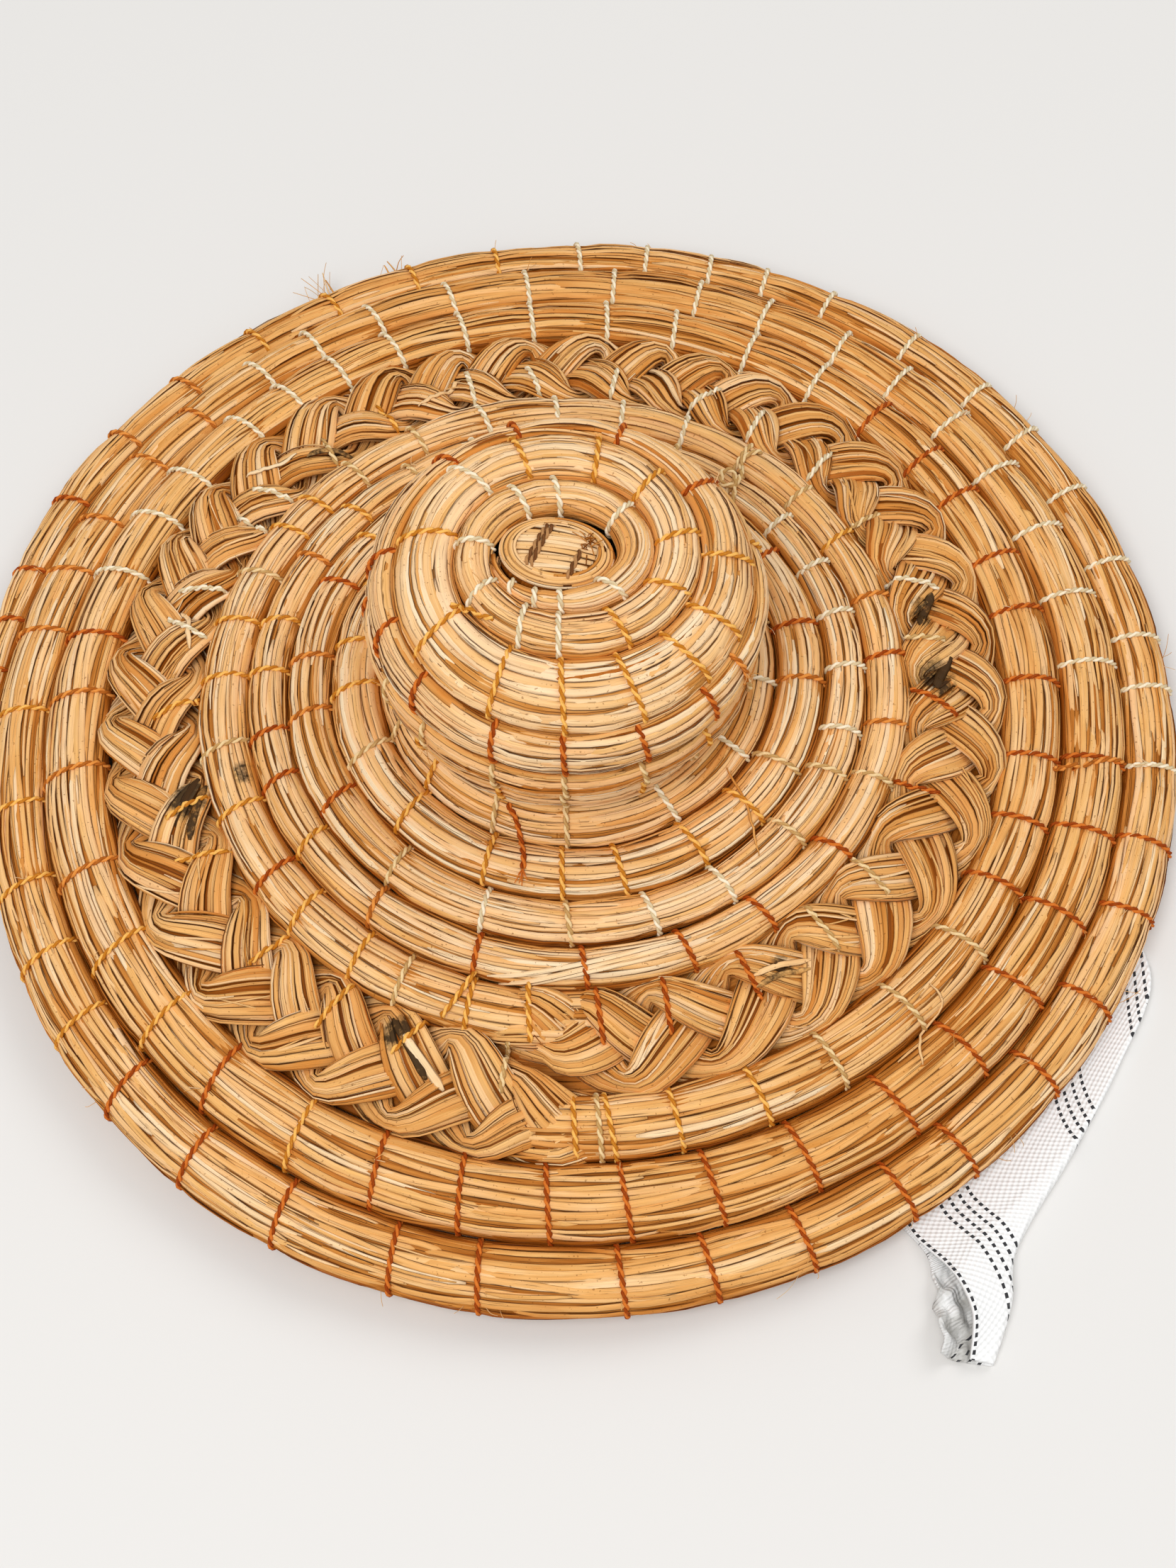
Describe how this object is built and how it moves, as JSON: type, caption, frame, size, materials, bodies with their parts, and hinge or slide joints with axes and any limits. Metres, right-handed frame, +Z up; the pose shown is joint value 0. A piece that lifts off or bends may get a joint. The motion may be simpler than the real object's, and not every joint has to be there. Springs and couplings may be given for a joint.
{
  "type": "conical straw hat",
  "caption": "Coiled straw hat with a rounded crown on a shallow drooping cone, a ring of plait, sewn stitches, an inner head ring and a cloth tie under the brim.",
  "frame": {"origin": "on the coil's axis, level with the lowest point of the rim, which rests on z = 0", "axes": "+Z up along the coil's axis, -Y toward the picture's viewer, +X to the picture's right"},
  "size_m": [0.3543, 0.3699, 0.114],
  "materials": {
    "straw_crown": "dry grass stems, pale golden",
    "straw_body": "dry grass stems, golden tan",
    "straw_plait": "dry grass stems, split and plaited",
    "head_band": "woven flat straw band",
    "cloth": "coarse plain weave cotton with dashed stripes",
    "thread_ochre": "twisted two-ply thread",
    "thread_cream": "twisted two-ply thread",
    "thread_rust": "twisted two-ply thread"
  },
  "bodies": {
    "root": {"centre_wad": "straw_crown", "crown_coil": "straw_crown", "cone_coil": "straw_body", "brim_coil": "straw_body", "plait_strand_a": "straw_plait", "plait_strand_b": "straw_plait", "plait_strand_c": "straw_plait", "head_ring": "head_band", "cloth_tie": "cloth", "crown_thread": "thread_ochre", "cone_thread": "thread_cream", "brim_thread": "thread_rust"}
  },
  "joints": []
}
